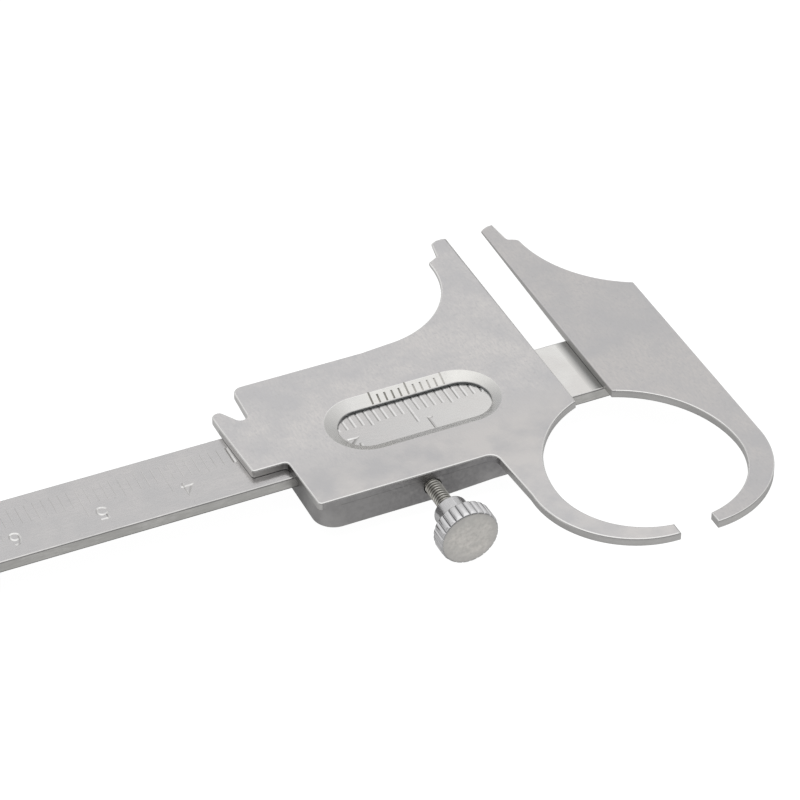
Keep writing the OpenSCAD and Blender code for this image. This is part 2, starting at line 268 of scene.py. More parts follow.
def slab(outline, profile, holes=()):
    """A closed plate, built from the bottom up.

    profile is [(inset, z, place of the band under it)], and each hole is [(loop, z, place)].
    """
    bm = bmesh.new()
    outer = [add_ring(bm, inset(outline, d), z) for d, z, _ in profile]
    for k in range(1, len(outer)):
        bridge(bm, outer[k - 1], outer[k], profile[k][2])
    bottoms, tops = [outer[0]], [outer[-1]]
    for hole in holes:
        rings = [add_ring(bm, loop, z) for loop, z, _ in hole]
        for k in range(1, len(rings)):
            bridge(bm, rings[k - 1], rings[k], hole[k][2])
        bottoms.append(rings[0])
        tops.append(rings[-1])
    cap(bm, bottoms)
    cap(bm, tops)
    bmesh.ops.recalc_face_normals(bm, faces=bm.faces)
    return bm


def thin_tips(bm):
    """Thins a jaw plate from below towards its pointed tip."""
    geom = bm.verts[:] + bm.edges[:] + bm.faces[:]
    bmesh.ops.bisect_plane(bm, geom=geom, plane_co=(0, TAPER_Y, 0), plane_no=(0, 1, 0))
    for v in bm.verts:
        if v.co.y > TAPER_Y:
            t = (v.co.y - TAPER_Y) / (TIP_Y - TAPER_Y)
            v.co.z = TOP_Z - (TOP_Z - v.co.z) * (1 - (1 - TIP_T) * t)


def lathe(bm, profile, centre, axis="Z", steps=64, radius_at=None):
    """Turns [(radius, height)] about an axis through centre. Ends with radius 0 close to a point."""
    rings = []
    for radius, height in profile:
        ring = []
        spokes = 1 if radius < 1e-6 else steps
        for i in range(spokes):
            a = 2 * math.pi * i / steps
            r = radius_at(radius, height, a) if radius_at and spokes > 1 else radius
            u, v = r * math.cos(a), r * math.sin(a)
            if axis == "Z":
                offset = Vector((u, v, height))
            else:
                offset = Vector((u, height, -v))
            ring.append(bm.verts.new(Vector(centre) + offset))
        rings.append(ring)
    for lower, upper in zip(rings, rings[1:]):
        if len(lower) == 1 and len(upper) == 1:
            continue
        for i in range(steps):
            j = (i + 1) % steps
            if len(lower) == 1:
                corners = (lower[0], upper[j], upper[i])
            elif len(upper) == 1:
                corners = (lower[i], lower[j], upper[0])
            else:
                corners = (lower[i], lower[j], upper[j], upper[i])
            bm.faces.new(corners)


def add_object(name, data):
    made = bpy.data.objects.new(name, data)
    bpy.context.scene.collection.objects.link(made)
    return made


def to_object(name, bm, materials):
    bmesh.ops.recalc_face_normals(bm, faces=bm.faces)
    mesh = bpy.data.meshes.new(name)
    bm.to_mesh(mesh)
    bm.free()
    for material in materials:
        mesh.materials.append(material)
    return add_object(name, mesh)


def carve(target, cutter, overlapping=False):
    """Cuts one object out of another; the cut faces keep the cutter's material."""
    mod = target.modifiers.new("carve", "BOOLEAN")
    mod.operation = "DIFFERENCE"
    mod.solver = "EXACT"
    mod.use_self = overlapping
    mod.material_mode = "TRANSFER"
    mod.object = cutter
    graph = bpy.context.evaluated_depsgraph_get()
    mesh = bpy.data.meshes.new_from_object(target.evaluated_get(graph))
    target.modifiers.clear()
    old = target.data
    target.data = mesh
    mesh.name = target.name
    bpy.data.meshes.remove(old)
    old_cutter = cutter.data
    bpy.data.objects.remove(cutter)
    bpy.data.meshes.remove(old_cutter)


def block_cutter(bm, low, high):
    v = []
    for x in (low[0], high[0]):
        for y in (low[1], high[1]):
            for z in (low[2], high[2]):
                v.append(bm.verts.new((x, y, z)))
    for f in ((0, 1, 3, 2), (4, 6, 7, 5), (0, 4, 5, 1), (2, 3, 7, 6), (0, 2, 6, 4), (1, 5, 7, 3)):
        bm.faces.new([v[k] for k in f])


def groove(bm, start, end, width, depth, lift=0.02, frame_matrix=None):
    """A V-shaped cutter from start to end on the plane z = start.z, with sloped ends."""
    a, b = Vector(start), Vector(end)
    along = (b - a).normalized()
    side = Vector((-along.y, along.x, 0)) * (width / 2) * (1 + lift / depth)
    up = Vector((0, 0, lift))
    down = Vector((0, 0, -depth))
    ramp = along * min(depth, (b - a).length * 0.3)
    over = along * lift
    points = [
        a - over + side + up, a - over - side + up, b + over - side + up, b + over + side + up,
        a + ramp + down, b - ramp + down,
    ]
    if frame_matrix is not None:
        points = [frame_matrix @ p for p in points]
    v = [bm.verts.new(p) for p in points]
    for f in ((0, 1, 2, 3), (0, 4, 1), (2, 5, 3), (1, 4, 5, 2)):
        bm.faces.new([v[k] for k in f])
    # The cutter's second material goes on this wall; on the beam's scale it is a painted highlight
    bm.faces.new([v[k] for k in (0, 3, 5, 4)]).material_index = 1      # the wall that catches the light


def keep_flats_flat(mesh):
    """Marks the border of every face that lies level as sharp, so that its shading stays even."""
    bm = bmesh.new()
    bm.from_mesh(mesh)
    bm.normal_update()
    for edge in bm.edges:
        if len(edge.link_faces) == 2:
            a, b = (abs(face.normal.z) > 0.999 for face in edge.link_faces)
            c, d = (abs(face.normal.y) > 0.9995 for face in edge.link_faces)
            if (a != b or c != d) and edge.calc_face_angle(0) > math.radians(3):
                edge.smooth = False
    bm.to_mesh(mesh)
    bm.free()


def finish_piece(made, body, slot, *nodes, smooth_angle=32):
    """Scales a piece to metres, sets its shading and says where it belongs."""
    mesh = made.data
    mesh.transform(Matrix.Scale(MM, 4))
    for polygon in mesh.polygons:
        polygon.use_smooth = True
    mesh.set_sharp_from_angle(angle=math.radians(smooth_angle))
    keep_flats_flat(mesh)
    normals = made.modifiers.new("weighted_normals", "WEIGHTED_NORMAL")
    normals.keep_sharp = True
    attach(made, body)
    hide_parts(*nodes)


# ---- materials

def node(tree, kind, inputs=(), **settings):
    """A new shader node. Each of its inputs is set to a value or linked from another node's socket."""
    made = tree.nodes.new("ShaderNode" + kind)
    for name, value in settings.items():
        setattr(made, name, value)
    for place, value in dict(inputs).items():
        if isinstance(value, bpy.types.NodeSocket):
            tree.links.new(value, made.inputs[place])
        else:
            made.inputs[place].default_value = value
    return made


def empty_tree(owner):
    owner.use_nodes = True
    owner.node_tree.nodes.clear()
    return owner.node_tree


def noise(tree, vector, scale, detail=2.0, roughness=0.5):
    inputs = {"Vector": vector, "Scale": scale, "Detail": detail, "Roughness": roughness}
    return node(tree, "TexNoise", inputs).outputs["Fac"]


def remap(tree, value, low, high, to_low=0, to_high=1):
    inputs = {"Value": value, "From Min": low, "From Max": high, "To Min": to_low, "To Max": to_high}
    return node(tree, "MapRange", inputs).outputs["Result"]


def mix_colour(tree, factor, a, b):
    a, b = ((*colour, 1) if isinstance(colour, tuple) else colour for colour in (a, b))
    return node(tree, "Mix", {"Factor": factor, 6: a, 7: b}, data_type="RGBA").outputs[2]


def mottle_factor(tree, place, patch):
    """Fine patches and broad ones together, as a factor between two tints."""
    fine, broad = noise(tree, place, patch, 5.0, 0.62), noise(tree, place, patch * 0.3, 3.0, 0.6)
    both = node(tree, "Math", {0: fine, 1: broad}, operation="ADD")
    return remap(tree, both.outputs["Value"], 0.84, 1.16)


def darker(colour, share):
    return tuple(c * share for c in colour)


def screw_distance(tree, split):
    """Distance from the thumb screw's axis."""
    flat = node(tree, "CombineXYZ", {"X": split.outputs["X"], "Z": split.outputs["Z"]})
    axis = (SCREW_X * MM, 0, SCREW_Z * MM)
    apart = node(tree, "VectorMath", {0: flat.outputs["Vector"], 1: axis}, operation="DISTANCE")
    return apart.outputs["Value"]


def bump(tree, height, strength, inputs=()):
    inputs = {"Height": height, "Strength": strength, "Distance": BUMP_HEIGHT, **dict(inputs)}
    return node(tree, "Bump", inputs).outputs["Normal"]


LENGTHWISE = (900, 5000, 5000)      # grain drawn out along X
CROSSWISE = (3800, 1100, 3800)      # grain drawn out along Y
EVEN = (2200, 2200, 2200)
TURNED = (6000, 900, 6000)
KNURLED = (6000, 1200, 6000)
BUMP_HEIGHT = 0.00001               # 0.01 mm
SPECK_SCALE = 2600
PIT_SCALE = 5200


def steel(name, light, dark, rough, rough_swing=0.05, grain=EVEN, grain_depth=0.4, pit_depth=0.4,
          patch=160, streak=0.0, fades=(), round_screw=None):
    """Satin steel, mottled with the tints light and dark. patch and grain are in waves per metre.

    Each fade is (axis, start, end, colour) along the object's own X, Y or Z, in metres, and its colour
    may be a pair of tints that are mottled in the same way. round_screw is (start, end, colour): a fade
    by the distance from the thumb screw's axis, in millimetres.
    """
    material = bpy.data.materials.new(name)
    tree = empty_tree(material)
    place = node(tree, "TexCoord").outputs["Object"]
    split = node(tree, "SeparateXYZ", {"Vector": place})
    stretch = node(tree, "Mapping", {"Vector": place, "Scale": grain})
    lines = noise(tree, stretch.outputs["Vector"], 1.0, 3.0, 0.6)

    mottle = mottle_factor(tree, place, patch)
    colour = mix_colour(tree, mottle, dark, light)
    specks = remap(tree, noise(tree, place, SPECK_SCALE, 2.0, 0.6), 0.58, 0.76, 0, 0.8)
    colour = mix_colour(tree, specks, colour, darker(dark, 0.9))
    if streak:
        streaks = remap(tree, lines, 0.35, 0.75, 0, 0.8)
        colour = mix_colour(tree, streaks, colour, darker(dark, 1 - 2 * streak))
    for axis, start, end, other in fades:
        if isinstance(other[0], tuple):
            other = mix_colour(tree, mottle, *other)
        colour = mix_colour(tree, remap(tree, split.outputs[axis], start, end), colour, other)
    if round_screw:
        start, end, other = round_screw
        factor = remap(tree, screw_distance(tree, split), start * MM, end * MM)
        colour = mix_colour(tree, factor, colour, other)

    grain_bump = bump(tree, lines, grain_depth)
    shader = node(tree, "BsdfPrincipled", {
        "Base Color": colour,
        "Metallic": 1,
        "Roughness": remap(tree, lines, 0.3, 0.7, rough - rough_swing, rough + rough_swing),
        "Normal": bump(tree, noise(tree, place, PIT_SCALE), pit_depth, {"Normal": grain_bump}),
    })
    node(tree, "OutputMaterial", {"Surface": shader.outputs["BSDF"]})
    return material


# Painted shade: the plate is painted darker towards -Y from Y = -2 mm, and lighter again from Y = -12 mm
# on
jaw_main = steel(
    "jaw_satin", (0.828, 0.802, 0.786), (0.7, 0.69, 0.697), 0.34,
    grain=CROSSWISE, grain_depth=0.8, pit_depth=1.0, patch=260, streak=0.018,
    fades=[
        ("Y", -0.002, -0.0075, ((0.76, 0.737, 0.724), (0.645, 0.636, 0.642))),
        ("Y", -0.012, -0.018, ((0.8, 0.776, 0.763), (0.69, 0.681, 0.687))),
    ],
)
fixed_main = steel(
    "fixed_jaw_satin", (0.728, 0.702, 0.688), (0.645, 0.635, 0.64), 0.34,
    grain=CROSSWISE, grain_depth=0.7, pit_depth=0.8, patch=220, streak=0.015,
)
SIDE_TINTS = ((0.74, 0.73, 0.715), (0.64, 0.632, 0.62))
# The wall beside the tab is painted dark, a painted shade that is darkest in a narrow band; everywhere
# else it has its own tints
jaw_side = steel(
    "jaw_side", *SIDE_TINTS, 0.36,
    grain=LENGTHWISE, streak=0.04,
    fades=[
        ("X", -0.0425, -0.0396, ((0.38, 0.374, 0.366), (0.29, 0.285, 0.28))),
        ("X", -0.0394, -0.0389, ((0.17, 0.168, 0.165), (0.13, 0.128, 0.126))),
        ("X", -0.0381, -0.0374, SIDE_TINTS),
        ("Y", -0.006, -0.011, SIDE_TINTS),
        ("Y", 0.0, 0.002, SIDE_TINTS),
    ],
)
# The rounded top edges and the window's rims are painted bright: partly wear, partly a painted highlight
jaw_edge = steel("jaw_worn_edge_and_highlight", (0.95, 0.94, 0.925), (0.86, 0.85, 0.84), 0.26, grain_depth=0.2)
# The ground walls are dark partly by their finish and partly by painted shade, and are painted lighter
# towards both ends
WALL_FADE = [
    ("X", -0.024, -0.037, ((0.53, 0.521, 0.517), (0.45, 0.442, 0.441))),
    ("X", -0.023, -0.018, ((0.48, 0.471, 0.469), (0.36, 0.354, 0.358))),
]
ground_side = steel(
    "plate_ground_side", (0.41, 0.402, 0.4), (0.285, 0.28, 0.284), 0.42,
    patch=700, streak=0.08, pit_depth=1.4,
    fades=WALL_FADE,
)
# Painted light: the bevel is painted darker on its near side and at its rear end, and lighter at its front
# end
bevel_main = steel(
    "window_bevel", (0.825, 0.815, 0.786), (0.765, 0.755, 0.733), 0.26,
    grain_depth=0.04, pit_depth=0.02, patch=240,
    fades=[
        ("Y", 0.0012, -0.0036, ((0.76, 0.757, 0.755), (0.72, 0.718, 0.717))),
        ("X", -0.0245, -0.0275, ((0.77, 0.762, 0.745), (0.73, 0.722, 0.706))),
        ("X", -0.0125, -0.0085, ((0.93, 0.915, 0.89), (0.88, 0.868, 0.846))),
    ],
)
# Painted shade: the window's lip wall is painted dark
lip_main = steel("window_lip", (0.27, 0.282, 0.285), (0.18, 0.192, 0.197), 0.34)
lip_edge = steel("window_lip_edge", (0.8, 0.79, 0.775), (0.7, 0.69, 0.68), 0.28)
# Painted shade: the plates' rounded lower edges are painted dark, as a contact shadow on the beam
painted_contact_shade = steel("painted_contact_shade", (0.14, 0.135, 0.14), (0.08, 0.078, 0.085), 0.45)
# Painted light: the beam's top is painted lighter towards the fixed jaw, and a painted shade of the jaw
# darkens the strip next to it; the Z fade keeps both on the top face
BEAM_TINTS = ((0.742, 0.722, 0.716), (0.675, 0.665, 0.667))
beam_main = steel(
    "beam_satin", *BEAM_TINTS, 0.22,
    grain=LENGTHWISE, grain_depth=0.7, pit_depth=0.6, patch=260, streak=0.018,
    fades=[
        ("X", -0.038, -0.002, ((1.0, 0.99, 0.965), (0.93, 0.91, 0.885))),
        ("X", -0.0016, -0.0006, (0.34, 0.34, 0.335)),
        ("Z", (beam_high.z - 0.4) * MM, (beam_high.z - 0.8) * MM, BEAM_TINTS),
    ],
)
beam_side = steel(
    "beam_side", (0.765, 0.756, 0.732), (0.65, 0.643, 0.62), 0.34,
    grain=LENGTHWISE, grain_depth=0.6, patch=420, streak=0.04,
)
beam_edge = steel(
    "beam_edge", (0.78, 0.765, 0.755), (0.67, 0.66, 0.652), 0.24,
    grain=LENGTHWISE, patch=500,
)
# Painted shade: the beam's rounded lower edges are painted dark
beam_under = steel(
    "beam_under_edge", (0.3, 0.295, 0.28), (0.16, 0.157, 0.15), 0.36,
    grain=LENGTHWISE, patch=900,
)
# The walls of the engraved lines: engraved is a painted shade, engraved_light a painted highlight,
# engraved_faint close to the beam's own tone
engraved = steel("engraved_line", (0.64, 0.63, 0.62), (0.5, 0.492, 0.48), 0.3, patch=700)
engraved_light = steel("engraved_lit_wall", (0.97, 0.96, 0.95), (0.9, 0.89, 0.88), 0.24)
engraved_faint = steel("engraved_faint", (0.735, 0.715, 0.71), (0.6, 0.59, 0.585), 0.3, patch=260)
# Painted shade: one wall of each vernier line is painted dark, less so for the lines nearer the jaw
vernier_dark = steel(
    "vernier_line", (0.42, 0.41, 0.38), (0.26, 0.255, 0.235), 0.35,
    patch=600,
    fades=[("X", -0.0225, -0.02, ((0.74, 0.725, 0.695), (0.58, 0.57, 0.545)))],
)
# Painted glint and shade: stamped is the bright lit wall of the numbers and of the glint line,
# stamped_dark the painted shade on the other wall of numbers 0 to 3
stamped = steel("stamped_numeral", (1.0, 0.995, 0.98), (0.74, 0.73, 0.72), 0.2, patch=900)
stamped_dark = steel("stamped_numeral_shade", (0.5, 0.49, 0.48), (0.36, 0.355, 0.345), 0.3, patch=1200)
body_main = steel(
    "body_steel", (0.43, 0.422, 0.42), (0.35, 0.344, 0.348), 0.42,
    grain=LENGTHWISE, patch=420, streak=0.03, pit_depth=0.8,
)
# The body's walls share that painted shade, and are painted darker still from Y = -9 mm inwards, a painted
# shade near the beam
body_side = steel(
    "body_ground_side", (0.41, 0.402, 0.4), (0.285, 0.28, 0.284), 0.42,
    patch=700, streak=0.08, pit_depth=1.4,
    fades=WALL_FADE + [("Y", -0.009, -0.0055, (0.27, 0.266, 0.264))],
)
body_edge = steel("body_worn_edge", (0.5, 0.495, 0.48), (0.42, 0.415, 0.4), 0.3)
# Painted shade: bores, pockets and screw slots are painted dark
bore_dark = steel("bore_dark", (0.12, 0.118, 0.115), (0.07, 0.069, 0.067), 0.5)
rivet_main = steel("rivet_steel", (0.62, 0.615, 0.61), (0.54, 0.535, 0.53), 0.3, streak=0.03)
# Painted shade: the thread is painted dark towards its roots
thread_main = steel(
    "screw_thread", (0.88, 0.865, 0.81), (0.6, 0.585, 0.54), 0.2,
    grain=TURNED, patch=1200,
    round_screw=(SCREW_R - 0.14, SCREW_R - 0.24, (0.16, 0.15, 0.13)),
)
# Painted shade: the flutes are painted dark down in their valleys, and so is everything nearer the axis
knob_main = steel(
    "knob_nickel", (0.93, 0.925, 0.93), (0.84, 0.835, 0.845), 0.22,
    grain=KNURLED, streak=0.03,
    round_screw=(KNOB_R - 0.1, KNOB_R - 0.26, (0.36, 0.36, 0.365)),
)
collar_main = steel(
    "knob_collar", (0.88, 0.875, 0.88), (0.8, 0.795, 0.805), 0.24,
    grain=KNURLED, streak=0.03,
)
# Painted shade: the face is painted darker towards its rim
knob_face = steel(
    "knob_face", (1.0, 0.965, 0.915), (0.84, 0.825, 0.79), 0.42,
    patch=800, pit_depth=1.0, streak=0.05,
    round_screw=(KNOB_R - 1.3, KNOB_R - 0.1, (0.76, 0.745, 0.72)),
)
spring_main = steel("spring_steel", (0.46, 0.45, 0.47), (0.36, 0.355, 0.38), 0.3, grain=LENGTHWISE)
brass_main = steel("gib_brass", (0.8, 0.6, 0.28), (0.68, 0.49, 0.21), 0.32, grain=LENGTHWISE)


# ---- the graduated beam

SCALE_ZERO = 12
SCALE_COUNT = 100
LINE_FAR = 3.1
LINE_WIDTH, LINE_DEPTH = 0.4, 0.055
WORN_WIDTH, WORN_DEPTH = 0.12, 0.022
CRISP_LINES = 32        # lines that the slider keeps covered and unworn
# The first line past them is half worn, and its lit wall is a painted glint
GLINT_WIDTH, GLINT_DEPTH, GLINT_SHIFT = 0.45, 0.07, 0.2
NUMERAL_HEIGHT, NUMERAL_WIDTH, NUMERAL_DEPTH = 1.95, 1.2, 0.09
STAMPED_OFFSET = 1.55   # from a number's line to its centre


def line_length(i):
    return 4.8 if i % 10 == 0 else 3.2 if i % 5 == 0 else 2.8


# Strokes of each numeral in a unit box, each (points, whether the stroke is closed)
GLYPHS = {
    "0": [(curve_points(0.5, 0.5, 0.46, 0.5, 0, 345, 23), True)],
    "1": [([(0.24, 0.02), (0.56, 0.0), (0.56, 1.0)], False)],
    "2": [(curve_points(0.5, 0.66, 0.42, 0.32, 195, -35, 12) + [(0.06, 0.0), (0.98, 0.0)], False)],
    "3": [
        (curve_points(0.46, 0.76, 0.42, 0.24, 160, -80, 12)
         + curve_points(0.46, 0.27, 0.48, 0.27, 80, -160, 14), False),
    ],
    "4": [([(0.72, 0.0), (0.72, 1.0), (0.0, 0.3), (1.0, 0.3)], False)],
    "5": [
        ([(0.9, 1.0), (0.18, 1.0), (0.1, 0.56)]
         + curve_points(0.47, 0.32, 0.47, 0.32, 125, -150, 14), False),
    ],
    "6": [
        (curve_points(0.5, 0.3, 0.44, 0.3, 0, 345, 23), True),
        (curve_points(0.72, 0.36, 0.66, 0.64, 90, 178, 8), False),
    ],
    "7": [([(0.02, 1.0), (0.96, 1.0), (0.34, 0.0)], False)],
    "8": [
        (curve_points(0.5, 0.77, 0.36, 0.22, 0, 345, 23), True),
        (curve_points(0.5, 0.27, 0.44, 0.27, 0, 345, 23), True),
    ],
}
GLYPHS["9"] = [([(1 - u, 1 - v) for u, v in points], closed) for points, closed in GLYPHS["6"]]


def stroke(bm, points, closed, width, depth, surface, lift=0.02):
    """A V-shaped cutter swept along a stroke that lies in the plane z = surface."""
    count = len(points)
    half = width / 2 * (1 + lift / depth)
    lefts, rights, floors = [], [], []
    for i in range(count):
        here = Vector(points[i])
        before = Vector(points[i - 1]) if closed or i > 0 else None
        after = Vector(points[(i + 1) % count]) if closed or i < count - 1 else None
        ways = []
        if before is not None:
            ways.append((here - before).normalized())
        if after is not None:
            ways.append((after - here).normalized())
        normals = [Vector((-w.y, w.x)) for w in ways]
        mid = sum(normals, Vector((0, 0))).normalized()
        reach = half / max(mid.dot(normals[0]), 0.45)
        left, right = here + mid * reach, here - mid * reach
        past = ways[0] * half * 0.6         # a stroke's open ends slope
        if before is None:
            left, right = left - past, right - past
        if after is None:
            left, right = left + past, right + past
        lefts.append(bm.verts.new((left.x, left.y, surface + lift)))
        rights.append(bm.verts.new((right.x, right.y, surface + lift)))
        floors.append(bm.verts.new((here.x, here.y, surface - depth)))
    spans = range(count) if closed else range(count - 1)
    for i in spans:
        j = (i + 1) % count
        bm.faces.new((lefts[i], lefts[j], rights[j], rights[i]))
        left_wall = bm.faces.new((lefts[j], lefts[i], floors[i], floors[j]))
        right_wall = bm.faces.new((rights[i], rights[j], floors[j], floors[i]))
        out = lefts[i].co + lefts[j].co - rights[i].co - rights[j].co
        # One wall of each stroke takes the second material, painted as the lit one, and the other the
        # first, painted as the shaded one
        lit, shaded = (left_wall, right_wall) if out.x + out.y > 0 else (right_wall, left_wall)
        lit.material_index, shaded.material_index = 1, 0
    if not closed:
        bm.faces.new((lefts[0], rights[0], floors[0]))
        bm.faces.new((rights[-1], lefts[-1], floors[-1]))


# The numbers were struck by hand: (shift along X, Y of the centre) for 0 to 10
STAMPED_AT = [
    (0, -2.2), (-0.15, -2.4), (0.35, -2.4), (0.1, -1.9), (0.15, -1.7), (0, -1.8),
    (-0.2, -1.95), (0.1, -1.85), (0, -2.05), (-0.1, -1.9), (0.5, -2.0),
]


def numeral_strokes(text, centre, height, width):
    """Strokes of a number whose top points to -Y, as it is stamped on the beam."""
    strokes = []
    gap = 0.45
    total = len(text) * width + (len(text) - 1) * gap
    for k, letter in enumerate(text):
        left = -total / 2 + k * (width + gap)
        for points, closed in GLYPHS[letter]:
            placed = []
            for u, v in points:
                x, y = left + u * width, (v - 0.5) * height
                placed.append((centre[0] - x, centre[1] - y))
            strokes.append((placed, closed))
    return strokes


RIVET_HEAD_R = (rivets_high.x - rivets_low.x) / 2
STOP_X = (stop_low.x + stop_high.x) / 2


def rivet_places():
    x = (rivets_low.x + rivets_high.x) / 2
    y = rivets_high.y - RIVET_HEAD_R
    return [(x, -y, 0), (x, y, 0)]


def beam_outline():
    rear, right = beam_low.x, beam_high.x
    half = (beam_high.y - beam_low.y) / 2
    corner, small = 2.2, 0.3
    return clean(
        arc((rear + corner, half - corner), corner, 90, 180, 24)
        + arc((rear + corner, -half + corner), corner, 180, 270, 24)
        + [(x, -half) for x in range(-112, 9, 8)]
        + arc((right - small, -half + small), small, 270, 360, 4)
        + arc((right - small, half - small), small, 0, 90, 4)
        + [(x, half) for x in range(8, -113, -8)]
    )


def cut_beam_holes(made):
    low, high = beam_low.z, beam_high.z
    head_r = RIVET_HEAD_R + 0.02
    rivet_hole = [
        (0, low - 1), (head_r, low - 1), (head_r, low), (0.92, low + 0.5),
        (0.92, high + 1), (0, high + 1),
    ]
    stop_hole = [
        (0, low - 1), (0.86, low - 1), (0.86, low - 0.001), (0.77, low + 0.09),
        (0.77, high + 1), (0, high + 1),
    ]
    holes = bmesh.new()
    for place in rivet_places():
        lathe(holes, rivet_hole, place, steps=48)
    lathe(holes, stop_hole, (STOP_X, 0, 0), steps=40)
    carve(made, to_object("beam_holes", holes, [bore_dark]))


def cut_scale(made):
    crisp, worn, glint = bmesh.new(), bmesh.new(), bmesh.new()
    top = beam_high.z
    for i in range(SCALE_COUNT + 1):
        x = -SCALE_ZERO - i
        if i < CRISP_LINES:
            kind, width, depth = crisp, LINE_WIDTH, LINE_DEPTH
        elif i == CRISP_LINES:
            kind, width, depth = glint, GLINT_WIDTH, GLINT_DEPTH
            x += GLINT_SHIFT
        else:
            kind, width, depth = worn, WORN_WIDTH, WORN_DEPTH
        groove(kind, (x, LINE_FAR, top), (x, LINE_FAR - line_length(i), top), width, depth)
    # The crisp lines get a painted shade and a painted highlight on their walls, and the glint line a
    # painted glint
    carve(made, to_object("crisp_lines", crisp, [engraved, engraved_light]))
    carve(made, to_object("worn_lines", worn, [engraved_faint, beam_edge]))
    carve(made, to_object("glint_line", glint, [engraved_faint, stamped]))


def cut_numerals(made):
    for i, (shift, centre_y) in enumerate(STAMPED_AT):
        numerals = bmesh.new()
        centre = (-SCALE_ZERO - 10 * i + STAMPED_OFFSET + shift, centre_y)
        width = 0.42 if i == 2 else 0.33
        for points, closed in numeral_strokes(str(i), centre, NUMERAL_HEIGHT, NUMERAL_WIDTH):
            stroke(numerals, points, closed, width, NUMERAL_DEPTH, beam_high.z)
        # The numbers' walls get a painted shade and a painted glint
        shade = stamped_dark if i < 4 else engraved_faint
        lit = beam_edge if i == 1 else stamped
        carve(made, to_object("numerals", numerals, [shade, lit]), overlapping=True)


def make_beam():
    bar = slab(beam_outline(), edge_profile(beam_low.z, beam_high.z, 0.17, 0.2, UNDER))
    made = to_object("beam_bar", bar, [beam_main, beam_edge, engraved, beam_side, beam_under])
    cut_beam_holes(made)
    cut_scale(made)
    cut_numerals(made)
    finish_piece(made, "ruler", "beam_steel", "beam")


# ---- the two jaw plates

def make_fixed_jaw():
    outline = round_corners(clean(fixed_outline()), 0.12)
    low = fixed_low.z
    bm = slab(outline, edge_profile(low, TOP_Z, 0.14, 0.06, UNDER))
    thin_tips(bm)
    # The bright edge highlight is left off the edges that face -X
    for face in bm.faces:
        if face.material_index == EDGE and face.normal.x < -0.25 and face.calc_center_median().y > -7:
            face.material_index = MAIN
    made = to_object("fixed_jaw_plate", bm, [fixed_main, jaw_edge, engraved, jaw_side, painted_contact_shade])
    finish_piece(made, "ruler", "jaw_steel", "fixed_jaw")


WINDOW_X = 17.3
WINDOW_Y = -0.5
WINDOW_L = 21.9
WINDOW_W = 9.76
BEVEL_W = 1.57
BEVEL_D = 0.7
VERNIER_ZERO = 12
VERNIER_STEP = 0.9      # ten steps to nine millimetres
# The plate's ground wall, above the channel body: its Y, and how far it is from the measuring face
GROUND_Y = -10.4
GROUND_FROM, GROUND_TO = 12.4, 33.6


def window_rings(bottom):
    """Rings of the bevelled vernier window, from the bottom up."""
    centre = (FACE_X - WINDOW_X, WINDOW_Y)

    def ring(grow):
        width = WINDOW_W - 2 * BEVEL_W + 2 * grow
        length = WINDOW_L - 2 * BEVEL_W + 2 * grow
        short = 0.5 * grow / BEVEL_W        # the bevel is a little narrower at the end near the jaw
        return stadium((centre[0] - short / 2, centre[1]), length - short, width, 36)

    lip_z = TOP_Z - BEVEL_D
    rim = 0.05
    slope = BEVEL_D / BEVEL_W
    return [
        (ring(0), bottom, CUT),
        (ring(0), lip_z - 0.05, CUT),
        (ring(0.03), lip_z - 0.01, EDGE),
        (ring(0.12), lip_z + 0.12 * slope, EDGE),
        (ring(BEVEL_W - rim * 2), TOP_Z - 2 * rim * slope, MAIN),
        (ring(BEVEL_W - rim * 0.6), TOP_Z - 0.62 * rim * slope, EDGE),
        (ring(BEVEL_W + rim * 0.6), TOP_Z, EDGE),
    ]


def place_plate_faces(bm):
    """Gives the slider plate's window and ground wall their own materials, and paints the rear walls on
    the far side with the bright edge colour, as painted light.
    """
    bevel_place, lip_place, ground_place, lip_edge_place = range(5, 9)
    lip_away = WINDOW_W / 2 - BEVEL_W
    for face in bm.faces:
        centre = face.calc_center_median()
        away_x = max(abs(centre.x - FACE_X + WINDOW_X) - (WINDOW_L - WINDOW_W) / 2, 0)
        away = math.hypot(away_x, centre.y - WINDOW_Y)
        near_wall = centre.y < GROUND_Y and GROUND_FROM < FACE_X - centre.x < GROUND_TO
        level = abs(face.normal.z)
        if away < lip_away + 0.03 and level < 0.2:
            face.material_index = lip_place
        elif away < lip_away + 0.14 and level < 0.999:
            face.material_index = lip_edge_place
        elif away < WINDOW_W / 2 - 0.02 and level < 0.999:
            face.material_index = bevel_place
        elif face.material_index in (SIDE, UNDER) and near_wall:
            face.material_index = ground_place
        # Painted light: these rear walls are painted as bright as the edges
        elif face.material_index == SIDE and centre.y > 6 and face.normal.x < -0.6:
            face.material_index = EDGE


def cut_vernier(made):
    lines = bmesh.new()
    tilt = math.atan2(BEVEL_D, BEVEL_W)
    slope_length = math.hypot(BEVEL_W, BEVEL_D)
    lip_y = WINDOW_Y + WINDOW_W / 2 - BEVEL_W
    for i in range(11):
        end = slope_length + 0.16 if i % 5 == 0 else 1.28
        foot = (FACE_X - VERNIER_ZERO - VERNIER_STEP * i, lip_y, TOP_Z - BEVEL_D)
        matrix = Matrix.Translation(foot) @ Matrix.Rotation(tilt, 4, "X")
        groove(lines, (0, 0.14, 0), (0, end, 0), 0.24, 0.09, 0.03, matrix)
    carve(made, to_object("vernier_lines", lines, [vernier_dark, bevel_main]))


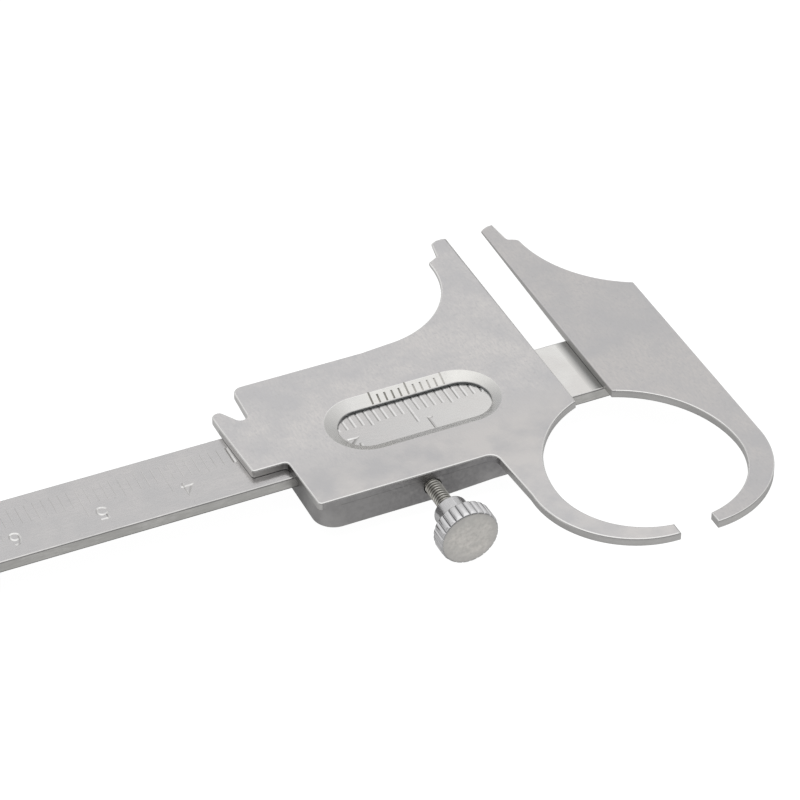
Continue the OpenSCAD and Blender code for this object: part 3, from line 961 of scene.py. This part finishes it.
def make_slider_plate():
    outline = [(FACE_X - x, y) for x, y in moving_outline()]
    outline = round_corners(clean(outline), 0.12)
    low = plate_low.z
    bm = slab(outline, edge_profile(low, TOP_Z, 0.18, 0.03, UNDER), [window_rings(low)])
    thin_tips(bm)
    place_plate_faces(bm)
    made = to_object("slider_plate_cut", bm, [
        jaw_main, jaw_edge, vernier_dark, jaw_side, painted_contact_shade, bevel_main, lip_main, ground_side, lip_edge,
    ])
    cut_vernier(made)
    finish_piece(made, "slider", "jaw_steel", "slider_plate")


# ---- the channel body under the slider plate

BODY_RISE = 0.45        # the body's underside rises by this between the screw and the front end


def channel_block():
    rear, front = body_low.x, body_high.x
    far, near = body_high.y, body_low.y
    low, high = body_low.z, body_high.z
    rear_r, front_r = 2.6, 1
    outline = (
        arc((rear + rear_r, far - rear_r), rear_r, 90, 180, 20)
        + arc((rear + rear_r, near + rear_r), rear_r, 180, 270, 20)
        + arc((front - front_r, near + front_r), front_r, 270, 360, 12)
        + arc((front - front_r, far - front_r), front_r, 0, 90, 12)
    )
    lower_edge = edge_profile(low, high, 0.12)[:EDGE_STEPS + 1]
    bm = slab(clean(outline), lower_edge + [(0, high, SIDE)])
    rise_start, rise_end = SCREW_X, front - 4
    for x in (rise_start, rise_end):
        geom = bm.verts[:] + bm.edges[:] + bm.faces[:]
        bmesh.ops.bisect_plane(bm, geom=geom, plane_co=(x, 0, 0), plane_no=(1, 0, 0))
    for v in bm.verts:
        if v.co.z < low + 1:
            t = min(max((v.co.x - rise_start) / (rise_end - rise_start), 0), 1)
            v.co.z += BODY_RISE * t
    return bm


def cut_channel(made, guide_y):
    """The channel that the beam runs in, and the pockets beside it for the gib and the spring."""
    top = body_high.z
    channel = bmesh.new()
    channel_low = (body_low.x - 2, -guide_y, beam_low.z - 0.03)
    block_cutter(channel, channel_low, (body_high.x + 2, guide_y, top + 1))
    carve(made, to_object("channel", channel, [body_main]))

    pocket_z = (beam_low.z + beam_high.z) / 2 - 0.85
    pockets = bmesh.new()
    for y_low, y_high in ((-guide_y - 0.95, -guide_y + 0.5), (guide_y - 0.5, guide_y + 1.05)):
        block_cutter(pockets, (SCREW_X - 10, y_low, pocket_z), (SCREW_X + 10, y_high, top + 0.7))
    carve(made, to_object("pockets", pockets, [bore_dark]))


def cut_body_holes(made, guide_y):
    low, high, near = body_low.z, body_high.z, body_low.y
    bore = SCREW_R - 0.02
    screw_hole = [
        (0, near - 1), (bore + 0.06, near - 1), (bore + 0.06, near - 0.001), (bore, near + 0.06),
        (bore, -guide_y), (0, -guide_y),
    ]
    holes = bmesh.new()
    lathe(holes, screw_hole, (SCREW_X, 0, SCREW_Z), axis="Y", steps=48)
    carve(made, to_object("screw_hole", holes, [bore_dark]))

    seat = low + BODY_RISE
    fixing_hole = [
        (0, low - 1), (1.62, low - 1), (1.62, seat - 0.12), (1.53, seat),
        (0.83, seat + 0.7), (0.83, high + 1), (0, high + 1),
    ]
    fixings = bmesh.new()
    for x, y in fixing_places():
        lathe(fixings, fixing_hole, (x, y, 0), steps=40)
    carve(made, to_object("fixing_holes", fixings, [body_edge]))


def make_slider_body():
    made = to_object("slider_channel", channel_block(), [body_main, body_edge, bore_dark, body_side])
    guide_y = (beam_high.y - beam_low.y) / 2 + 0.03
    cut_channel(made, guide_y)
    cut_body_holes(made, guide_y)
    finish_piece(made, "slider", "body_steel", "slider_body")


# ---- rivets, pin and fixing screws

def fixing_places():
    head_r = 1.5
    xs = (screws_low.x + head_r, screws_high.x - head_r)
    ys = (screws_low.y + head_r, screws_high.y - head_r)
    return [(x, y) for x in xs for y in ys]


def make_rivets():
    bm = bmesh.new()
    low, high = rivets_low.z, rivets_high.z
    head_r = RIVET_HEAD_R
    profile = [
        (0, low + 0.015), (head_r - 0.5, low + 0.012), (head_r - 0.12, low + 0.02),
        (head_r - 0.03, low + 0.05), (head_r - 0.03, low + 0.1), (0.9, low + 0.52),
        (0.9, beam_high.z), (0.9, high - 0.05), (0.85, high), (0, high),
    ]
    for place in rivet_places():
        lathe(bm, profile, place, steps=48)
    finish_piece(to_object("rivet_pair", bm, [rivet_main]), "ruler", "rivet_steel", "jaw_rivets")


def make_stop_pin():
    bm = bmesh.new()
    low, seat, high = stop_low.z, beam_high.z, stop_high.z
    radius = (stop_high.x - stop_low.x) / 2
    profile = [
        (0, low + 0.03), (0.6, low + 0.03), (0.7, low + 0.06), (0.75, low + 0.13), (0.75, seat),
        (radius - 0.08, seat + 0.005), (radius - 0.02, seat + 0.03), (radius, seat + 0.09),
        (radius, high - 0.3), (radius - 0.04, high - 0.2), (radius - 0.14, high - 0.1),
        (radius - 0.32, high - 0.035), (radius * 0.45, high - 0.008), (0, high),
    ]
    lathe(bm, profile, (STOP_X, 0, 0), steps=56)
    made = to_object("stop_stud", bm, [rivet_main])
    finish_piece(made, "ruler", "rivet_steel", "stop_pin", smooth_angle=40)


SLOT_TURNS = (20, 75, -35, 50)      # how each screw's slot is turned, in degrees


def make_body_screws():
    bm = bmesh.new()
    low, high = screws_low.z, screws_high.z
    profile = [
        (0, low + 0.01), (1.3, low + 0.01), (1.42, low + 0.03), (1.47, low + 0.09),
        (1.44, low + 0.13), (0.8, low + 0.72), (0.8, high - 0.1), (0.7, high), (0, high),
    ]
    for x, y in fixing_places():
        lathe(bm, profile, (x, y, 0), steps=48)
    made = to_object("fixing_screws", bm, [rivet_main, body_edge])
    slots = bmesh.new()
    section = [
        (-0.26, -0.5), (-0.26, 0.0), (-0.2, 0.06), (-0.2, 0.3),
        (0.2, 0.3), (0.2, 0.06), (0.26, 0.0), (0.26, -0.5),
    ]
    for (x, y), turn in zip(fixing_places(), SLOT_TURNS):
        way = Vector((math.cos(math.radians(turn)), math.sin(math.radians(turn)), 0))
        side = Vector((-way.y, way.x, 0))
        ends = []
        for reach in (-2, 2):
            middle = Vector((x, y, low)) + way * reach
            ends.append([slots.verts.new(middle + side * u + Vector((0, 0, w))) for u, w in section])
        bridge(slots, ends[0], ends[1])
        slots.faces.new(ends[0][::-1])
        slots.faces.new(ends[1])
    carve(made, to_object("screw_slots", slots, [bore_dark]))
    finish_piece(made, "slider", "rivet_steel", "body_screws")


# ---- the thumb screw

PITCH = 0.4
THREAD_DEPTH = 0.22
THREAD_CLEARANCE = 0.08     # how far the crests stay under the CAD stud


def make_thread():
    """A thread as a tube whose rows follow the helix, and where it starts and ends.

    The helix is left-handed, although the joint turns the screw as a right-hand one.
    """
    thread_start, thread_end = knob_high.y - 0.6, stud_high.y - 0.95
    around, rows = 40, 8
    turns_count = int((thread_end - thread_start) / PITCH)
    bm = bmesh.new()
    grid = []
    total_rows = (turns_count + 2) * rows

    def radius_at(y, phase):
        saw = abs((phase % 1.0) * 2 - 1)           # 0 at the crest, 1 at the root
        shape = min(max((saw - 0.12) / 0.76, 0), 1)
        fade = min(max((thread_end - y) / 0.35, 0), 1) * min(max((y - thread_start) / 0.35, 0), 1)
        return SCREW_R - (THREAD_CLEARANCE + THREAD_DEPTH * shape) * fade

    for j in range(total_rows + 1):
        row = []
        for i in range(around):
            turn = i / around
            y = thread_start + ((j / rows) - 1 + turn) * PITCH
            phase = j / rows + 0.5
            y = min(max(y, thread_start), thread_end)
            r = radius_at(y, phase)
            a = 2 * math.pi * turn
            row.append(bm.verts.new((SCREW_X + r * math.cos(a), y, SCREW_Z + r * math.sin(a))))
        grid.append(row)
    for j in range(total_rows):
        for i in range(around - 1):
            bm.faces.new((grid[j][i], grid[j][i + 1], grid[j + 1][i + 1], grid[j + 1][i]))
    # the last column joins the first one a whole turn further on
    for j in range(total_rows - rows):
        further = j + rows
        corners = (grid[j][-1], grid[further][0], grid[further + 1][0], grid[j + 1][-1])
        bm.faces.new(corners)
    bmesh.ops.remove_doubles(bm, verts=bm.verts, dist=0.0004)
    loose = [v for v in bm.verts if not v.link_faces]
    bmesh.ops.delete(bm, geom=loose, context="VERTS")
    bmesh.ops.dissolve_degenerate(bm, dist=0.0002, edges=bm.edges)
    return bm, thread_start, thread_end


def stud_ends(start, end):
    """The plain end pressed into the knob, and the spigot that carries the pad, as a mesh."""
    bottom, tip = stud_low.y, stud_high.y
    plain_r = SCREW_R - THREAD_CLEARANCE
    pressed_end = [
        (0, bottom), (SCREW_R - 0.1, bottom), (SCREW_R, bottom + 0.1),
        (SCREW_R, start + 0.02), (0, start + 0.02),
    ]
    pad_spigot = [
        (0, end - 0.02), (plain_r, end - 0.02), (plain_r, tip - 0.8), (SCREW_R - 0.25, tip - 0.5),
        (0.42, tip - 0.5), (0.42, tip - 0.05), (0.37, tip), (0, tip),
    ]
    ends = bmesh.new()
    for profile in (pressed_end, pad_spigot):
        lathe(ends, profile, (SCREW_X, 0, SCREW_Z), axis="Y", steps=40)
    mesh = bpy.data.meshes.new("stud_ends")
    bmesh.ops.recalc_face_normals(ends, faces=ends.faces)
    ends.to_mesh(mesh)
    ends.free()
    return mesh


def make_screw_stud():
    bm, start, end = make_thread()
    made = to_object("threaded_stud", bm, [thread_main])
    ends = stud_ends(start, end)
    whole = bmesh.new()
    whole.from_mesh(made.data)
    whole.from_mesh(ends)
    whole.to_mesh(made.data)
    whole.free()
    bpy.data.meshes.remove(ends)
    finish_piece(made, "screw", "screw_steel", "screw_stud", smooth_angle=60)


FLUTES = 24
FLUTE_DEPTH = 0.26
STEPS_PER_FLUTE = 12
FLUTED_LENGTH = 2.3


def make_knob():
    face, back = knob_low.y, knob_high.y
    shoulder = face + FLUTED_LENGTH
    r, collar_r, bore_r = KNOB_R, 2, SCREW_R + 0.02

    def fluted_radius(radius, height, angle):
        if height > shoulder + 1e-6 or radius < KNOB_R - 0.7:
            return radius
        t = (angle * FLUTES / (2 * math.pi)) % 1.0
        valley = abs(2 * t - 1) ** 3.2              # 0 on the crest, 1 in the valley
        return min(radius, KNOB_R - FLUTE_DEPTH * valley)

    plain_rim = [
        (0, face), (r * 0.5, face), (r - 0.4, face + 0.01), (r - 0.22, face + 0.03),
        (r - 0.13, face + 0.08), (r - 0.1, face + 0.16), (r - 0.085, face + 0.24), (r - 0.03, face + 0.32),
    ]
    fluted_barrel = [
        (r, face + 0.44), (r, face + 1.1), (r, shoulder - 0.3), (r - 0.05, shoulder - 0.16),
        (r - 0.16, shoulder - 0.05), (r - 0.34, shoulder),
    ]
    collar = [
        (collar_r + 0.12, shoulder + 0.001), (collar_r + 0.03, shoulder + 0.04),
        (collar_r, shoulder + 0.14), (collar_r, back - 0.22), (collar_r - 0.04, back - 0.1),
        (collar_r - 0.16, back - 0.01), (collar_r - 0.24, back),
    ]
    bore = [
        (SCREW_R + 0.16, back), (SCREW_R + 0.05, back - 0.1), (bore_r, back - 0.5),
        (bore_r, back - 3.4), (0, back - 3.42),
    ]
    bm = bmesh.new()
    profile = plain_rim + fluted_barrel + collar + bore
    steps = FLUTES * STEPS_PER_FLUTE
    lathe(bm, profile, (SCREW_X, 0, SCREW_Z), axis="Y", steps=steps, radius_at=fluted_radius)
    for f in bm.faces:
        centre = f.calc_center_median()
        if centre.y < face + 0.05:
            f.material_index = 1
        elif centre.y > shoulder + 0.0002:
            f.material_index = 2
    made = to_object("fluted_knob", bm, [knob_main, knob_face, collar_main])
    finish_piece(made, "screw", "knob_steel", "thumb_knob", smooth_angle=38)


# ---- CAD nodes that keep their shape

def dress_cad_nodes():
    dresses = {"gib_strip": brass_main, "leaf_spring": spring_main, "clamp_pad": brass_main}
    for name, material in dresses.items():
        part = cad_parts[name]
        if not part.material_slots:
            part.data.materials.append(material)
        for place in part.material_slots:
            place.link = "OBJECT"
            place.material = material
        soften = part.modifiers.new("soften", "BEVEL")
        soften.width = 0.00005
        soften.segments = 2
        soften.limit_method = "ANGLE"
        soften.angle_limit = math.radians(50)


make_beam()
make_fixed_jaw()
make_slider_plate()
make_slider_body()
make_rivets()
make_stop_pin()
make_body_screws()
make_screw_stud()
make_knob()
dress_cad_nodes()


# ---- floor, light and camera

FLOOR_GAP = 0.0004      # metres under the caliper
FLOOR_GLOW = 0.97
BACKDROP = 1.05         # what the camera sees past the floor
# Where the camera stands, in millimetres, and the way it looks, both fitted to the photo's perspective
EYE = (-150.26, -276.37, 242.89)
LOOK = (0.32655, 0.71244, -0.62112)
LENS = 153.55


def make_floor():
    lowest = cad_bounds[0].z - FLOOR_GAP
    reach = 3
    corners = [(x * reach, y * reach, lowest) for x, y in ((-1, -1), (1, -1), (1, 1), (-1, 1))]
    mesh = bpy.data.meshes.new("floor")
    mesh.from_pydata(corners, [], [(0, 1, 2, 3)])
    floor = add_object("floor", mesh)
    material = bpy.data.materials.new("floor_white")
    tree = empty_tree(material)
    glow = node(tree, "Emission", {"Color": (1, 1, 1, 1), "Strength": FLOOR_GLOW})
    matt = node(tree, "BsdfDiffuse", {"Color": (0.1, 0.1, 0.1, 1)})
    both = node(tree, "AddShader", {0: glow.outputs[0], 1: matt.outputs[0]})
    node(tree, "OutputMaterial", {"Surface": both.outputs[0]})
    mesh.materials.append(material)
    floor.visible_glossy = False


# Brightness of the studio, beyond the caliper and on its near side: (height of the direction, grey)
SKY_FAR = [
    (-1, 0.3), (-0.75, 0.42), (-0.6, 0.45), (-0.3, 0.5), (0, 0.55),
    (0.3, 0.6), (0.62, 0.74), (0.93, 1.0), (1, 1.05),
]
SKY_NEAR = [
    (-1, 0.3), (-0.75, 0.54), (-0.6, 0.6), (-0.4, 0.52), (-0.15, 0.3),
    (0.1, 0.22), (0.5, 0.28), (0.75, 0.6), (0.93, 1.0), (1, 1.05),
]
SKY_PEAK = 1.05


def sky_ramp(tree, height, stops):
    ramp = node(tree, "ValToRGB", {"Fac": height})
    elements = ramp.color_ramp.elements
    while len(elements) > 1:
        elements.remove(elements[-1])
    for k, (z, grey) in enumerate(stops):
        element = elements[0] if k == 0 else elements.new((z + 1) / 2)
        element.position = (z + 1) / 2
        value = grey / SKY_PEAK
        element.color = (value, value, value, 1)
    return ramp.outputs["Color"]


def make_world():
    world = bpy.data.worlds.new("studio")
    bpy.context.scene.world = world
    tree = empty_tree(world)
    split = node(tree, "SeparateXYZ", {"Vector": node(tree, "TexCoord").outputs["Generated"]})
    height = remap(tree, split.outputs["Z"], -1, 1)
    beyond = remap(tree, split.outputs["Y"], -0.15, 0.15)
    both = mix_colour(tree, beyond, sky_ramp(tree, height, SKY_NEAR), sky_ramp(tree, height, SKY_FAR))
    sky = node(tree, "Background", {"Color": both, "Strength": SKY_PEAK})
    white = node(tree, "Background", {"Color": (1, 1, 1, 1), "Strength": BACKDROP})
    seen = node(tree, "LightPath").outputs["Is Camera Ray"]
    pick = node(tree, "MixShader", {"Fac": seen, 1: sky.outputs[0], 2: white.outputs[0]})
    node(tree, "OutputWorld", {"Surface": pick.outputs[0]})


def make_lights():
    soft = bpy.data.lights.new("overhead", "AREA")
    soft.shape = "RECTANGLE"
    soft.size, soft.size_y = 0.5, 0.35
    soft.energy = 1.6
    lamp = add_object("overhead", soft)
    lamp.location = (-0.03, 0.02, 0.42)
    lamp.visible_glossy = False


def make_camera():
    camera = bpy.data.cameras.new("camera")
    camera.lens = LENS
    camera.sensor_width = 36
    camera.clip_start, camera.clip_end = 0.01, 20
    eye = add_object("camera", camera)
    eye.location = Vector(EYE) * MM
    eye.rotation_mode = "QUATERNION"
    eye.rotation_quaternion = Vector(LOOK).to_track_quat("-Z", "Y")
    bpy.context.scene.camera = eye


make_floor()
make_world()
make_lights()
make_camera()
bpy.context.scene.view_settings.view_transform = "Standard"
